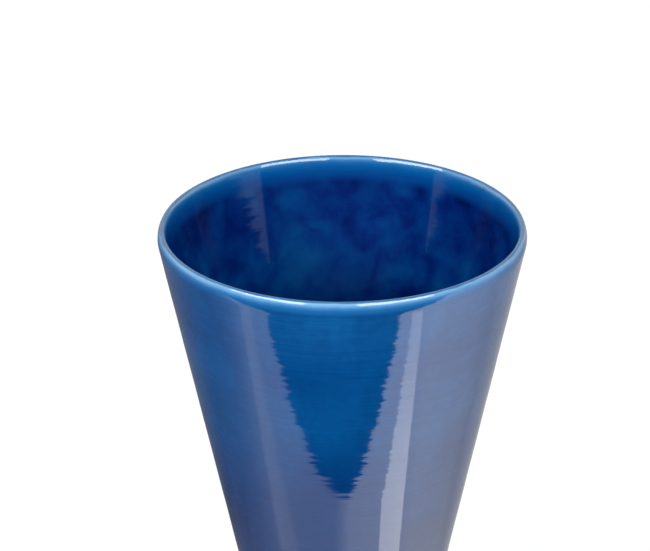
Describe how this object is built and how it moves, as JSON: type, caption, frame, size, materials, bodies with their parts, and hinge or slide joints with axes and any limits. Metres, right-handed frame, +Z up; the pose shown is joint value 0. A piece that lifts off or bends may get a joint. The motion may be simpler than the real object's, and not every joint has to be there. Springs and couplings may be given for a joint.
{
  "type": "flower vase",
  "caption": "Tall tapered flower vase with a wide open mouth, a thin rounded lip and a turned foot ring, in glossy mottled blue glaze over pale clay.",
  "frame": {"origin": "centre of the foot ring, at the level that it stands on", "axes": "+Z up along the axis of revolution, towards the mouth; +X and +Y are level, and the vase is round about +Z"},
  "size_m": [0.18, 0.1799, 0.24],
  "materials": {
    "bare_clay": "matte, unglazed stoneware",
    "blue_glaze": "glossy, translucent blue, paler on the lip",
    "deep_blue_glaze": "glossy, mottled deep blue"
  },
  "bodies": {
    "root": {"clay_body": "bare_clay", "outer_glaze": "blue_glaze", "inner_glaze": "deep_blue_glaze", "underside_glaze": "blue_glaze"}
  },
  "joints": []
}
